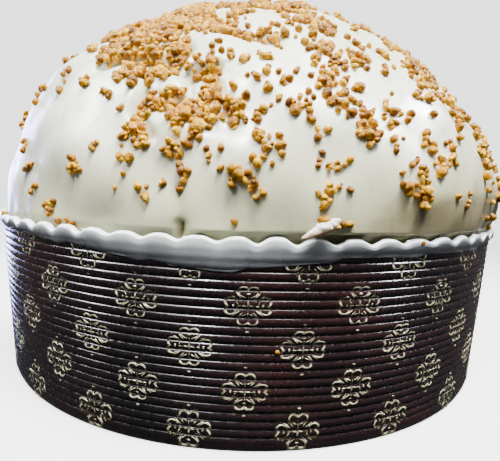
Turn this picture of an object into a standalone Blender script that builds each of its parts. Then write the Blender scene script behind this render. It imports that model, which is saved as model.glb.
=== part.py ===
"""A low iced panettone of about one kilogram, still in the paper case it was baked in.

Metres, +Z up. The case stands on z = 0 with its axis on the Z axis, and the front faces -Y.
An azimuth is measured from the front towards +X. An elevation on the dome is measured at the
middle of the case's mouth, from the level of the rim up to the crown.

Four pieces: the bread, the ribbed paper case round it, the white icing over its dome with the
nut crumbs stuck in it, and the coat of icing on the case's scalloped rim.
"""
import math

import bmesh
import bpy
import numpy as np
from mathutils import Euler, Vector
from mathutils.bvhtree import BVHTree

MM = 0.001
GAP = 0.3 * MM

# Paper case: a wide cup that opens a little upwards, with level ribs all the way up
CASE_HEIGHT = 60.0 * MM
CREST_RADIUS_FOOT = 106.2 * MM
CREST_RADIUS_RIM = 109.5 * MM
RIB_PITCH = 2.5 * MM
FIRST_RIB = 3.0 * MM
RIB_COUNT = 22
RIB_DEPTH = 0.7 * MM
PAPER = 0.6 * MM
FOOT_ROUND = 0.5 * MM
CASE_SIDES = 44

# Scalloped rim: a shallow wave cut along the paper's edge, which the icing coat follows
WAVES = 66
WAVE_HEIGHT = 0.75 * MM
WAVE_START = math.radians(-1.1)
RIM_SIDES = 2 * WAVES
COAT = 0.8 * MM
COAT_FOOT = 0.5 * MM
LIP_TOP = 60.3 * MM
LIP_ROUND = 0.35 * MM

# How far the coat runs down the ribs: deepest at the front, and uneven round the rest
DIP_EVEN = 4.6 * MM
DIP_FRONT = 3.4 * MM
DIP_FRONT_AT = math.radians(-3.0)
DIP_FRONT_SPREAD = math.radians(13.0)
DIP_SWELLS = ((3, 0.7 * MM, 0.4), (7, 0.4 * MM, 2.0))

# Dome, over the icing: elevation in degrees, mean reach and lean towards +X, both in mm
DOME = np.array([
    (0.0, 109.7, 3.0),
    (15.0, 108.7, 2.5),
    (30.0, 105.3, -1.0),
    (45.0, 99.5, 0.8),
    (60.0, 95.2, 0.6),
    (75.0, 92.4, 0.0),
    (90.0, 91.0, 0.0),
])
DOME_CENTRE = CASE_HEIGHT
ICING = 3.6 * MM
THROAT_TOP = 61.7 * MM
THROAT_FLARE = 0.8
ICING_FOOT = 57.0 * MM
ICING_SIDES = 66
BREAD_SIDES = 33
SKIN_ELEVATIONS = (2.2, 4.5, 7.5, 11, 15, 18.5, 22, 25.5, 29, 33, 38, 43.5, 50, 58, 67, 78)
BREAD_ELEVATIONS = (4.5, 13, 24, 36, 50, 68)

# Pleats in the icing, as (points in azimuth and elevation, depth, half width), in degrees and mm
PLEATS = (
    (((-33, 31), (-28, 40), (-21.5, 44.5), (-10, 41.5), (-2, 35), (4, 33.5)), 1.3, 3.6),
    (((-30, 26.5), (-25.4, 28.5), (-18.5, 27.6), (-13.8, 26.2), (-10, 24.3), (-6, 25.5)), 1.6, 2.8),
    (((-16.7, 36.4), (-13.3, 32.1), (-11.5, 29.7), (-14, 27)), 1.2, 2.6),
    (((-10.6, 23.8), (-9.9, 20.8), (-11.2, 18.8), (-14, 18.5)), 1.3, 2.0),
    (((-18.7, 25.5), (-17.9, 21.6), (-18.1, 17.5)), 2.6, 1.7),
    (((-16.5, 20.8), (-12.5, 20.2)), 0.4, 2.0),
    (((-17.8, 18.3), (-16, 15.6), (-14.9, 13.9)), 0.9, 2.4),
    (((-7, 22.5), (-7, 18.6), (-5.9, 16)), 1.0, 2.2),
    (((-5.2, 23.0), (-4.2, 19.5), (-2.8, 16)), 1.0, 2.2),
    (((-27, 60), (-2, 52.4), (14, 49.2), (22, 46)), 0.8, 4.0),
)
# No pleat is deeper than this, in mm, so that icing is left under it
DEEPEST = 2.3
# The same pleats come again round the back, turned by so many degrees
TURNS = (0, 128, 236)

# Puffed pillows between the pleats: azimuth, elevation, height, radius, in degrees and mm
PILLOWS = (
    (-13.6, 23.0, 1.3, 8), (-1.0, 23.5, 1.2, 17), (-8.0, 30.5, 1.2, 10), (-22.0, 34.0, 1.2, 12),
    (-28.0, 17.0, 1.4, 30), (-13.0, 15.0, 0.8, 9), (8.0, 12.0, 1.2, 26), (34.0, 24.0, 1.3, 30),
)

# Wide, low swells over the whole dome: direction, waves for each radian, height in mm, phase
SWELLS = (((1.0, 0.3, 0.5), 5.0, 0.45, 0.6), ((-0.4, 1.0, 0.7), 7.0, 0.35, 2.1),
          ((0.6, -0.5, 1.0), 9.0, 0.25, 4.0))

# Handfuls of nut crumbs that gathered in and round the pleats: azimuth and elevation in degrees,
# half length and half width in mm, the length's lean from level in degrees, how many
HANDFULS = (
    (-28, 43, 25, 13, 0, 520), (-26, 33.5, 15, 5.5, 5, 150), (-1, 35.2, 13, 2.8, 0, 40),
    (-31.5, 35.5, 4, 3, 0, 10), (-22, 29.4, 13, 3, 5, 60), (-14, 30.5, 8, 3.2, 90, 40),
    (-20, 24.8, 8, 3.2, 10, 38), (-15.8, 24.8, 3.4, 4.5, 0, 18), (-13.5, 19.6, 6.5, 3.2, 0, 38),
    (-17.2, 17, 7, 2.2, 100, 28), (-10.8, 17, 3, 3.8, 0, 18), (-6.6, 21, 10, 2.6, 90, 60),
    (-2.7, 18, 4.4, 2.4, 80, 18), (-12, 39, 11, 5, 0, 90), (-24, 53, 9, 9, 0, 60),
    (4, 50.5, 18, 6, 0, 150), (14, 54, 6, 8, 90, 50), (13, 28, 10, 6, 90, 34),
    (38, 31, 10, 5, 0, 34), (47, 14, 7, 5, 0, 22), (15, 41, 8, 7, 90, 44), (-4.5, 44, 4, 3, 90, 16),
    (-9, 26, 5, 3, 0, 14), (36, 25, 8, 5, 0, 20),
)
# Share of the handfuls that fell again on each turn round the back
HANDFUL_SHARES = (1.0, 0.35, 0.4)
# Clumps of a few crumbs low on the front: azimuth, elevation, how many
CLUMPS = (
    (0.8, 16.8, 5), (2.2, 13.4, 5), (1.8, 11, 5), (4.2, 12, 3), (-1.6, 8.4, 6), (1.2, 7, 4),
    (-5.6, 11.4, 3), (-9.6, 12.4, 4), (-11.4, 11.8, 4), (-7.8, 14.4, 3), (-19, 14, 3),
    (-16, 13.8, 5), (-24.6, 12.2, 2), (-27.4, 9, 4), (-18.8, 11, 2), (-17.6, 8, 1), (-15, 5.8, 4),
    (-19.2, 5.6, 1), (-12.4, 7.4, 2), (-9.2, 7.2, 2), (-48, 13.4, 3), (-42.6, 9.6, 3),
    (-39.4, 5.8, 2), (-33.8, 3, 6), (-30.2, 23.4, 3), (-24, 20.6, 2), (-20.4, 18.6, 1),
    (3.4, 19.8, 2), (7.4, 18.2, 5), (9.4, 15.4, 3), (12.2, 20, 6), (15.2, 19.2, 5), (17, 17.8, 4),
    (16.8, 15.2, 9), (21.8, 14.2, 3), (21.2, 17.2, 3), (27.4, 13.6, 3), (33, 14.8, 2),
    (33.2, 12.2, 3), (29.6, 11, 4), (25, 11.2, 3), (25.4, 8.8, 5), (25.6, 6.4, 5), (22, 8.4, 3),
    (9.6, 10.6, 3), (12.6, 10.6, 3), (13.2, 6.8, 2), (9.8, 6.2, 5), (-2, 3.6, 1), (33, 7.4, 1),
    (9.5, 3.4, 2), (12.7, 2.2, 2),
)
CLUMP_RADIUS = 1.15
# A clump's count is of those in sight, and it holds more
CLUMP_FILL = 1.4
JITTER = 0.7

# Nut crumbs, in degrees and mm: all are drawn from one seed, and the largest are made as solids
CRUMB_SEED = 11
LOOSE_CRUMBS = 1600
NEIGHBOUR_SHARES = (0.45, 0.25, 0.12)
NEIGHBOUR_SCATTER = 1.7
CRUMB_RADIUS = 1.08
CRUMB_SPREAD = 0.24
CRUMB_RANGE = (0.6, 1.9)
THIN_FROM, THIN_TO, THIN_BLUR = -75, -6, 8
THIN_WEIGHT = 0.16
FULL_ABOVE, FULL_BLUR = 27, 12
CLUMPED_HALF, CLUMPED_BELOW, CLUMPED_BLUR = 50, 17, 3
RIM_WEIGHT = 0.08
RIM_BLUR = 15
SOLID_CRUMBS = 108
CRUMB_SPACING = 5.0 * MM
CRUMB_LOWEST = 5.0
CRUMB_PROUD = 0.45
CORNER_COUNT = 9
CORNERS = (0.95, 1.15)
SQUASH = (0.85, 1.1)
ICING_UNDER_CRUMB = 0.4 * MM

# Flake of icing and crust that leans out over the rim at the front
FLAKE_AT = (10.2, 2.9)
FLAKE_SIZE = (4.6 * MM, 1.5 * MM, 1.5 * MM)
FLAKE_TILT = math.radians(-24.0)


def unit(azimuth, elevation):
    """Direction from the middle of the rim: azimuth from -Y towards +X, elevation upwards."""
    return np.stack([np.cos(elevation) * np.sin(azimuth),
                     -np.cos(elevation) * np.cos(azimuth),
                     np.sin(elevation) + 0.0 * azimuth], -1)


def smooth_through(x, knots, values):
    """Smooth curve through the knots: cubic pieces whose slope at a knot is that of its chord."""
    slope = np.gradient(values, knots)
    slope[-1] = 0.0
    i = np.clip(np.searchsorted(knots, x) - 1, 0, len(knots) - 2)
    width = knots[i + 1] - knots[i]
    t = (x - knots[i]) / width
    start = values[i] * (1 + 2 * t) * (1 - t) ** 2 + slope[i] * width * t * (1 - t) ** 2
    end = values[i + 1] * t * t * (3 - 2 * t) + slope[i + 1] * width * t * t * (t - 1)
    return start + end


def smooth_reach(azimuth, elevation):
    """Distance from the middle of the rim to the dome, before its pleats and pillows."""
    degrees = np.degrees(elevation)
    mean = smooth_through(degrees, DOME[:, 0], DOME[:, 1])
    lean = smooth_through(degrees, DOME[:, 0], DOME[:, 2])
    return (mean + lean * np.sin(azimuth)) * MM


def pleat_points():
    """Each pleat of each turn as its unit points, depth and half width."""
    for turn in TURNS:
        for points, depth, width in PLEATS:
            angles = np.radians(np.array(points, float) + (turn, 0))
            yield unit(angles[:, 0], angles[:, 1]), depth, width


def relief(direction):
    """Height of the icing over the plain dome: pillows and swells up, pleats down."""
    reach = DOME[2, 1]
    height = np.zeros(direction.shape[:-1])
    for axis, waves, tall, phase in SWELLS:
        height += tall * np.sin(waves * (direction @ np.array(axis)) + phase)
    for azimuth, elevation, tall, radius in PILLOWS:
        middle = unit(np.radians(azimuth), np.radians(elevation))
        away = np.linalg.norm(direction - middle, axis=-1) * reach / radius
        height += tall * np.clip(1 - away ** 2, 0, 1) ** 1.5
    for points, depth, width in pleat_points():
        nearest = np.full(direction.shape[:-1], np.inf)
        for a, b in zip(points[:-1], points[1:]):
            along = np.clip((direction - a) @ (b - a) / ((b - a) @ (b - a)), 0, 1)
            foot = a + along[..., None] * (b - a)
            nearest = np.minimum(nearest, np.linalg.norm(direction - foot, axis=-1))
        height -= depth * np.exp(-(nearest * reach / width) ** 2)
    return np.maximum(height, -DEEPEST) * MM


def dome(azimuth, elevation, inset=0.0, with_relief=True):
    """Points of the dome, drawn in below the rim's top so that it clears the coat there."""
    direction = unit(azimuth, elevation)
    reach = smooth_reach(azimuth, elevation) - inset
    if with_relief:
        reach = reach + relief(direction)
    point = direction * reach[..., None] + (0, 0, DOME_CENTRE)
    throat = room(ICING_FOOT) - inset
    widest = throat + THROAT_FLARE * np.maximum(point[..., 2] - THROAT_TOP, 0)
    radius = np.hypot(point[..., 0], point[..., 1])
    point[..., :2] *= np.minimum(1, widest / np.maximum(radius, MM))[..., None]
    return point


def crest_radius(z):
    """Radius over the crests of the case's ribs at height z."""
    return CREST_RADIUS_FOOT + (CREST_RADIUS_RIM - CREST_RADIUS_FOOT) * z / CASE_HEIGHT


def paper_inside(z):
    """Radius of the case's plain inner face at height z."""
    return crest_radius(z) - RIB_DEPTH - PAPER


def room(z):
    """Radius free for what stands in the case at height z, clear of the flats of its inner face."""
    return paper_inside(z) * math.cos(math.pi / CASE_SIDES) - GAP


def around(sides):
    """Evenly spaced azimuths, starting on the first wave of the rim."""
    return WAVE_START + np.arange(sides) * 2 * math.pi / sides


def ring(azimuth, radius, z):
    """Points round the axis; radius and z are numbers or one value for each azimuth."""
    return np.stack([radius * np.sin(azimuth), -radius * np.cos(azimuth),
                     z + 0.0 * azimuth], -1)


def pole(z):
    """A single point on the axis."""
    return np.array([(0.0, 0.0, z)])


def zip_rings(a, b, falling):
    """Triangles between two rings given as (first vertex, count), which may differ in count.
    Where both could step on, a rising strip steps on the first ring and a falling one on the
    second, so that two skins over each other are split alike."""
    (first_a, count_a), (first_b, count_b) = a, b
    faces = []
    i = j = 0
    while i < (count_a if count_a > 1 else 0) or j < (count_b if count_b > 1 else 0):
        here_a = first_a + i % count_a
        here_b = first_b + j % count_b
        step_a = (i + 1) / count_a if count_a > 1 else math.inf
        step_b = (j + 1) / count_b if count_b > 1 else math.inf
        if step_a < step_b or (step_a == step_b and not falling):
            faces.append((here_a, first_a + (i + 1) % count_a, here_b))
            i += 1
        else:
            faces.append((here_a, first_b + (j + 1) % count_b, here_b))
            j += 1
    return faces


def lofted(name, rings, material, closed=False):
    """Solid through the rings in order, outer side going up; closed joins the last to the first."""
    starts = np.cumsum([0] + [len(r) for r in rings])
    spans = [(int(starts[k]), len(rings[k])) for k in range(len(rings))]
    heights = [float(r[:, 2].mean()) for r in rings]
    if closed:
        spans.append(spans[0])
        heights.append(heights[0])
    faces = []
    for k in range(len(spans) - 1):
        faces += zip_rings(spans[k], spans[k + 1], heights[k + 1] < heights[k])
    mesh = bpy.data.meshes.new(name)
    mesh.from_pydata(np.concatenate(rings).tolist(), [], faces)
    mesh.materials.append(material)
    mesh.shade_smooth()
    mesh.set_sharp_from_angle(angle=math.radians(40))
    solid = bpy.data.objects.new(name, mesh)
    bpy.context.scene.collection.objects.link(solid)
    return solid


def finish(name, colour, roughness):
    """Principled material of one plain colour."""
    material = bpy.data.materials.new(name)
    material.use_nodes = True
    shader = material.node_tree.nodes["Principled BSDF"]
    shader.inputs["Base Color"].default_value = (*colour, 1.0)
    shader.inputs["Roughness"].default_value = roughness
    shader.inputs["Metallic"].default_value = 0.0
    return material


def wave(azimuth):
    """Height of the scallops above or below the mean edge."""
    return WAVE_HEIGHT * np.cos(WAVES * (azimuth - WAVE_START))


def coat_foot(azimuth):
    """Height of the coat's lower edge on the ribs."""
    away = (np.remainder(azimuth - DIP_FRONT_AT + math.pi, 2 * math.pi) - math.pi)
    depth = DIP_EVEN + DIP_FRONT * np.exp(-(away / DIP_FRONT_SPREAD) ** 2)
    for waves, tall, phase in DIP_SWELLS:
        depth = depth + tall * np.cos(waves * azimuth + phase)
    return CASE_HEIGHT - depth


def make_case(material):
    """Ribbed cup with a flat floor, a plain inside and a scalloped edge."""
    coarse = around(CASE_SIDES)
    fine = around(RIM_SIDES)
    edge = LIP_TOP - COAT - GAP + wave(fine)
    rings = [pole(0.0), ring(coarse, crest_radius(0) - 2 * FOOT_ROUND, 0.0),
             ring(coarse, crest_radius(0) - FOOT_ROUND, FOOT_ROUND)]
    for rib in range(RIB_COUNT):
        crest = FIRST_RIB + rib * RIB_PITCH
        groove = crest - RIB_PITCH / 2
        rings.append(ring(coarse, crest_radius(groove) - RIB_DEPTH, groove))
        rings.append(ring(coarse, crest_radius(crest), crest))
    shoulder = FIRST_RIB + (RIB_COUNT - 0.5) * RIB_PITCH
    rings.append(ring(coarse, crest_radius(shoulder) - RIB_DEPTH, shoulder))
    rings.append(ring(fine, crest_radius(CASE_HEIGHT) - RIB_DEPTH / 2, edge))
    rings.append(ring(fine, paper_inside(CASE_HEIGHT), edge))
    rings.append(ring(coarse, paper_inside(shoulder), shoulder))
    rings.append(ring(coarse, paper_inside(PAPER), PAPER))
    rings.append(pole(PAPER))
    return lofted("paper_case", rings, material)


def make_bread(material):
    """The loaf: it fills the case, steps in under the icing's foot, and rises in a dome."""
    azimuth = around(BREAD_SIDES)
    floor = PAPER + GAP
    ledge = ICING_FOOT - GAP
    neck = room(ICING_FOOT) - ICING - GAP
    rings = [pole(floor), ring(azimuth, room(floor), floor), ring(azimuth, room(ledge), ledge),
             ring(azimuth, neck, ledge), ring(azimuth, neck, THROAT_TOP)]
    for elevation in np.radians(BREAD_ELEVATIONS):
        rings.append(dome(azimuth, elevation + 0.0 * azimuth, ICING + GAP, with_relief=False))
    crown = dome(np.zeros(1), np.full(1, math.pi / 2), ICING + GAP, with_relief=False)
    rings.append(pole(float(crown[0, 2])))
    return lofted("cake", rings, material)


def make_skin(material):
    """The icing as a shell of even thickness over the bread, its outside pleated and puffed."""
    inner = around(BREAD_SIDES)
    outer = around(ICING_SIDES)
    throat = room(ICING_FOOT)
    crown = dome(np.zeros(1), np.full(1, math.pi / 2), ICING, with_relief=False)
    rings = [pole(float(crown[0, 2]))]
    for elevation in np.radians(BREAD_ELEVATIONS[::-1]):
        rings.append(dome(inner, elevation + 0.0 * inner, ICING, with_relief=False))
    rings.append(ring(inner, throat - ICING, THROAT_TOP))
    rings.append(ring(inner, throat - ICING, ICING_FOOT))
    rings.append(ring(outer, throat, ICING_FOOT))
    rings.append(ring(outer, throat, THROAT_TOP))
    for elevation in np.radians(SKIN_ELEVATIONS):
        rings.append(dome(outer, elevation + 0.0 * outer))
    crown = dome(np.zeros(1), np.full(1, math.pi / 2))
    rings.append(pole(float(crown[0, 2])))
    return lofted("icing", rings, material)


def make_rim_coat(material):
    """Icing on the case's edge: a skirt over the top ribs and a rounded cap along the scallops."""
    azimuth = around(RIM_SIDES)
    foot = coat_foot(azimuth)
    top = LIP_TOP + wave(azimuth)
    skirt_top = crest_radius(CASE_HEIGHT) + GAP
    rings = [ring(azimuth, crest_radius(foot) + GAP, foot),
             ring(azimuth, crest_radius(foot) + GAP + COAT_FOOT, foot),
             ring(azimuth, skirt_top + COAT, top - 3 * LIP_ROUND),
             ring(azimuth, skirt_top + COAT - LIP_ROUND, top),
             ring(azimuth, paper_inside(CASE_HEIGHT), top - LIP_ROUND / 2),
             ring(azimuth, paper_inside(CASE_HEIGHT), top - COAT),
             ring(azimuth, skirt_top, top - COAT)]
    return lofted("rim_icing", rings, material, closed=True)


def scatter_weight(azimuth, elevation):
    """How thickly the loose crumbs lie, from 0 to 1: full on the front's right, the back and
    the top, thin on the front's left, and hardly any near the rim or among the clumps."""
    before = 0.5 - 0.5 * np.tanh((azimuth - THIN_FROM) / THIN_BLUR)
    after = 0.5 + 0.5 * np.tanh((azimuth - THIN_TO) / THIN_BLUR)
    side = THIN_WEIGHT + (1 - THIN_WEIGHT) * np.maximum(before, after)
    upper = np.clip((elevation - FULL_ABOVE) / FULL_BLUR, 0, 1)
    low = 0.5 - 0.5 * np.tanh((elevation - CLUMPED_BELOW) / CLUMPED_BLUR)
    clumped = low * np.exp(-(azimuth / CLUMPED_HALF) ** 8)
    near_rim = np.clip(elevation / RIM_BLUR, RIM_WEIGHT, 1)
    return np.maximum(side, upper) * near_rim * (1 - (1 - RIM_WEIGHT) * clumped)


def handful(draw, azimuth, elevation, long, wide, lean, count):
    """Directions of crumbs that lie together in an oval: spread evenly over it by the golden
    angle from its middle, and jittered."""
    azimuth, elevation, lean = np.radians((azimuth, elevation, lean))
    level = np.array([np.cos(azimuth), np.sin(azimuth), 0.0])
    middle = unit(azimuth, elevation)
    upward = np.cross(middle, level)
    along = level * np.cos(lean) + upward * np.sin(lean)
    across = np.cross(middle, along)
    step = np.arange(count) + 0.5
    out = np.sqrt(step / count)[:, None] / DOME[2, 1]
    turn = (step * np.pi * (3 - np.sqrt(5)) + draw.uniform(0, 2 * np.pi))[:, None]
    oval = middle + out * (np.cos(turn) * along * long + np.sin(turn) * across * wide)
    return oval + draw.normal(0, JITTER / DOME[2, 1], oval.shape)


def draw_crumbs(draw):
    """Direction and radius in mm of every crumb: the handfuls of each turn, the clumps, and loose
    ones that fall evenly, are kept with the chance that scatter_weight gives, and bring up to
    three neighbours."""
    spots = []
    for turn, share in zip(TURNS, HANDFUL_SHARES):
        for azimuth, elevation, long, wide, lean, count in HANDFULS:
            spots.append(handful(draw, azimuth + turn, elevation, long, wide, lean,
                                 round(count * share)))
    for azimuth, elevation, count in CLUMPS:
        radius = CLUMP_RADIUS * math.sqrt(count)
        spots.append(handful(draw, azimuth, elevation, radius, radius, 0,
                             round(count * CLUMP_FILL)))
    azimuth = draw.uniform(-180, 180, LOOSE_CRUMBS * 3)
    elevation = np.degrees(np.arcsin(draw.uniform(0, 1, LOOSE_CRUMBS * 3)))
    kept = draw.uniform(0, 1, LOOSE_CRUMBS * 3) < scatter_weight(azimuth, elevation)
    alone = unit(np.radians(azimuth[kept]), np.radians(elevation[kept]))[:LOOSE_CRUMBS]
    spots.append(alone)
    for share in NEIGHBOUR_SHARES:
        parents = alone[draw.uniform(0, 1, len(alone)) < share]
        spots.append(parents + draw.normal(0, NEIGHBOUR_SCATTER / DOME[2, 1], parents.shape))
    spots = np.concatenate(spots)
    spots /= np.linalg.norm(spots, axis=1, keepdims=True)
    return spots, np.clip(CRUMB_RADIUS * np.exp(draw.normal(0, CRUMB_SPREAD, len(spots))),
                          *CRUMB_RANGE)


def largest_crumbs(skin):
    """Places and radii of the largest crumbs that keep their spacing, largest first.

    A line from the middle of the rim meets the skin's inside and then its outside, where the
    crumb sits. A crumb whose bed is too thin for it, as in a deep pleat, is passed over."""
    directions, radius = draw_crumbs(np.random.default_rng(CRUMB_SEED))
    above_rim = directions[:, 2] > math.sin(math.radians(CRUMB_LOWEST))
    directions, radius = directions[above_rim], radius[above_rim]
    middle = Vector((0, 0, DOME_CENTRE))
    faces = [tuple(face.vertices) for face in skin.data.polygons]
    tree = BVHTree.FromPolygons([vertex.co for vertex in skin.data.vertices], faces)
    chosen = []
    for k in np.argsort(-radius):
        direction = Vector(directions[k])
        size = float(radius[k]) * MM
        inside = tree.ray_cast(middle, direction)[0]
        outside = tree.ray_cast(inside + direction * GAP, direction)[0]
        sunk = size * (CORNERS[1] * SQUASH[1] - CRUMB_PROUD)
        thin = (outside - inside).length < sunk + ICING_UNDER_CRUMB
        place = outside + direction * size * CRUMB_PROUD
        if not thin and all((place - other).length > CRUMB_SPACING for other, _ in chosen):
            chosen.append((place, size))
        if len(chosen) == SOLID_CRUMBS:
            break
    return chosen


def crumb(place, radius, draw, collection, material):
    """A chip of nut: the hull of a few points spread over a ball by the golden angle, pushed in
    and out, squashed, and turned at random."""
    step = np.arange(CORNER_COUNT)
    level = 1 - (2 * step + 1) / CORNER_COUNT
    spin = step * math.pi * (3 - math.sqrt(5))
    ball = np.stack([np.cos(spin) * np.sqrt(1 - level ** 2),
                     np.sin(spin) * np.sqrt(1 - level ** 2), level], -1)
    ball *= draw.uniform(*CORNERS, (CORNER_COUNT, 1)) * draw.uniform(*SQUASH, 3)
    turn = Euler(draw.uniform(0, 2 * math.pi, 3)).to_matrix()
    shape = bmesh.new()
    for corner in ball:
        shape.verts.new(turn @ (Vector(corner) * radius) + place)
    bmesh.ops.convex_hull(shape, input=shape.verts)
    bmesh.ops.recalc_face_normals(shape, faces=shape.faces)
    mesh = bpy.data.meshes.new("crumb")
    shape.to_mesh(mesh)
    shape.free()
    mesh.materials.append(material)
    collection.objects.link(bpy.data.objects.new("crumb", mesh))


def flake(collection, material):
    """A torn flake: a flattened ball that lies along the dome's foot, one end down."""
    azimuth, elevation = (np.radians(value) for value in FLAKE_AT)
    place = Vector(dome(np.full(1, azimuth), np.full(1, elevation))[0])
    shape = bmesh.new()
    bmesh.ops.create_icosphere(shape, subdivisions=2, radius=1.0)
    turn = Euler((0, -FLAKE_TILT, 0)).to_matrix()
    swing = Euler((0, 0, azimuth)).to_matrix()
    for vertex in shape.verts:
        stretched = Vector(a * b for a, b in zip(vertex.co, FLAKE_SIZE))
        vertex.co = swing @ (turn @ stretched) + place
    mesh = bpy.data.meshes.new("flake")
    shape.to_mesh(mesh)
    shape.free()
    mesh.materials.append(material)
    collection.objects.link(bpy.data.objects.new("flake", mesh))


def fuse(solid, collection):
    """Join everything in the collection to the solid, apply it, and clear the collection."""
    union = solid.modifiers.new("fused crumbs", "BOOLEAN")
    union.operation = "UNION"
    union.operand_type = "COLLECTION"
    union.collection = collection
    union.solver = "MANIFOLD"
    bpy.context.view_layer.update()
    fused = bpy.data.meshes.new_from_object(
        solid.evaluated_get(bpy.context.evaluated_depsgraph_get()))
    solid.modifiers.remove(union)
    solid.data = fused
    for piece in list(collection.objects):
        bpy.data.objects.remove(piece)
    bpy.data.collections.remove(collection)


for old in list(bpy.data.objects):
    bpy.data.objects.remove(old)

paper = finish("dark ribbed paper", (0.035, 0.022, 0.026), 0.35)
crust = finish("baked crust", (0.42, 0.22, 0.09), 0.85)
white_icing = finish("white icing", (0.83, 0.83, 0.76), 0.35)

make_case(paper)
make_bread(crust)
icing = make_skin(white_icing)
make_rim_coat(white_icing)

draw = np.random.default_rng(CRUMB_SEED)
on_dome = bpy.data.collections.new("crumbs on the dome")
bpy.context.scene.collection.children.link(on_dome)
for place, radius in largest_crumbs(icing):
    crumb(place, radius, draw, on_dome, white_icing)
flake(on_dome, white_icing)
fuse(icing, on_dome)
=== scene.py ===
"""A low iced panettone in its ribbed paper case, dressed for a soft studio light.

Metres, +Z up. The case stands on z = 0 with its axis on the Z axis, and the front faces -Y.
An azimuth is measured from the front towards +X. An elevation on the dome is measured at the
middle of the case's mouth, from the level of the rim up to the crown.

The sections follow the order of making: the printed paper case, the loaf baked in it, the icing
poured over the dome, the nut crumbs thrown on it, and the coat left on the case's edge when the
dome was dipped. The floor, the lights and the camera come last.
"""
import math

import bmesh
import bpy
import numpy as np
from mathutils import Matrix, Vector


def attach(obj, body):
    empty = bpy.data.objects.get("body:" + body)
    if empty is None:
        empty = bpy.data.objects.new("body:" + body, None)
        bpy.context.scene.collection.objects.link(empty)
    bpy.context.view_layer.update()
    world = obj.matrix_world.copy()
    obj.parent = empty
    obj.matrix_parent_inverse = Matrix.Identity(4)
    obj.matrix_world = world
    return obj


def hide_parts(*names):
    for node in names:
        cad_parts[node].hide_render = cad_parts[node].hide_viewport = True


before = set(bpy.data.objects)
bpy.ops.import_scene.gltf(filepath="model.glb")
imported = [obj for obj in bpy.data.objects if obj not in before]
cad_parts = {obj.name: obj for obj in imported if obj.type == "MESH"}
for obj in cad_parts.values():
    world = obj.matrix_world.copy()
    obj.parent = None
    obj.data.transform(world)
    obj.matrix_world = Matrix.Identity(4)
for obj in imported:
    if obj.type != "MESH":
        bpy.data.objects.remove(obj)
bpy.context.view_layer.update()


# Paper case
# The baking mould is a wide cup of brown micro-fluted paper with a glossy face, pressed to shape
# with its flutes lying level. It was cut along the top to a shallow scallop.

MM = 0.001
CASE_HEIGHT = 60.0 * MM
CREST_RADIUS_FOOT = 106.2 * MM
CREST_RADIUS_RIM = 109.5 * MM
RIB_PITCH = 2.5 * MM
FIRST_RIB = 3.0 * MM
RIB_COUNT = 23
RIB_DEPTH = 0.7 * MM
RIB_ROUNDNESS = 0.62
ROWS_PER_RIB = 10
PAPER = 0.6 * MM
FOOT_ROUND = 0.5 * MM
FOOT_SOFT = 0.1 * MM
FLOOR_RINGS = (0.5, 0.97)
CASE_COLUMNS = 330
# How the wall sways at its top: waves round it, height, phase
WALL_SWAY = ((3, 0.10 * MM, 0.7), (7, 0.07 * MM, 2.9), (16, 0.03 * MM, 1.3))

# Scallops of the rim, and how much of their height the paper has under its coat of icing
WAVES = 66
WAVE_HEIGHT = 0.75 * MM
WAVE_START = math.radians(-1.1)
PAPER_SCALLOP = 0.8
LIP_TOP = 60.3 * MM
COAT = 0.8 * MM
GAP = 0.3 * MM


def around(columns):
    """Evenly spaced azimuths, starting on the first scallop of the rim."""
    return WAVE_START + np.arange(columns) * 2 * math.pi / columns


def turned(azimuth, radius, z):
    """Points at a radius and a height on each azimuth: x = r sin a, y = -r cos a."""
    azimuth, radius, z = np.broadcast_arrays(azimuth, radius, z)
    return np.stack([radius * np.sin(azimuth), -radius * np.cos(azimuth), z], -1)


def round_faces(rows, columns, closed=False):
    """Quads between neighbouring points of a grid of rows that run round the axis. With closed,
    the last row joins the first, as on a ring."""
    here = np.arange(rows * columns).reshape(rows, columns)
    above = np.roll(here, -1, 0) if closed else here[1:]
    here = here if closed else here[:-1]
    return np.stack([here, np.roll(here, -1, 1), np.roll(above, -1, 1), above], -1).reshape(-1, 4)


def add_piece(name, points, quads, triangles=None, smooth=True):
    """A mesh object at the origin, from whole arrays of points, quads and triangles."""
    points = np.asarray(points, float).reshape(-1, 3)
    groups = [quads] if triangles is None else [quads, triangles]
    groups = [np.asarray(group, np.int32) for group in groups if len(group)]
    sizes = np.concatenate([np.full(len(group), group.shape[1], np.int32) for group in groups])
    corners = np.concatenate([group.ravel() for group in groups])
    mesh = bpy.data.meshes.new(name)
    mesh.vertices.add(len(points))
    mesh.vertices.foreach_set("co", points.astype(np.float32).ravel())
    mesh.loops.add(len(corners))
    mesh.loops.foreach_set("vertex_index", corners)
    mesh.polygons.add(len(sizes))
    mesh.polygons.foreach_set("loop_start", np.cumsum(sizes) - sizes)
    mesh.polygons.foreach_set("use_smooth", np.full(len(sizes), smooth))
    mesh.update(calc_edges=True)
    mesh.validate()
    piece = bpy.data.objects.new(name, mesh)
    bpy.context.scene.collection.objects.link(piece)
    return piece


def add_turned_solid(name, rows, ends):
    """Closed solid from rows of points round the axis, in an order that goes up where it faces
    outwards, with a fan from the first row and from the last to a point on the axis. Ends are
    the heights of those two points."""
    count, columns = rows.shape[:2]
    first, last = ((0.0, 0.0, height) for height in ends)
    points = np.concatenate([rows.reshape(-1, 3), [first, last]])
    ring = np.arange(columns)
    onward = np.roll(ring, -1)
    top = ring + (count - 1) * columns
    fan_first = np.stack([onward, ring, np.full(columns, count * columns)], -1)
    fan_last = np.stack([top, np.roll(top, -1), np.full(columns, count * columns + 1)], -1)
    return add_piece(name, points, round_faces(count, columns), np.concatenate([fan_first, fan_last]))


def set_values(piece, name, values):
    """Float attribute with one value for each vertex, for a material to read."""
    layer = piece.data.attributes.new(name, "FLOAT", "POINT")
    layer.data.foreach_set("value", np.asarray(values, np.float32).ravel())


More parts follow.
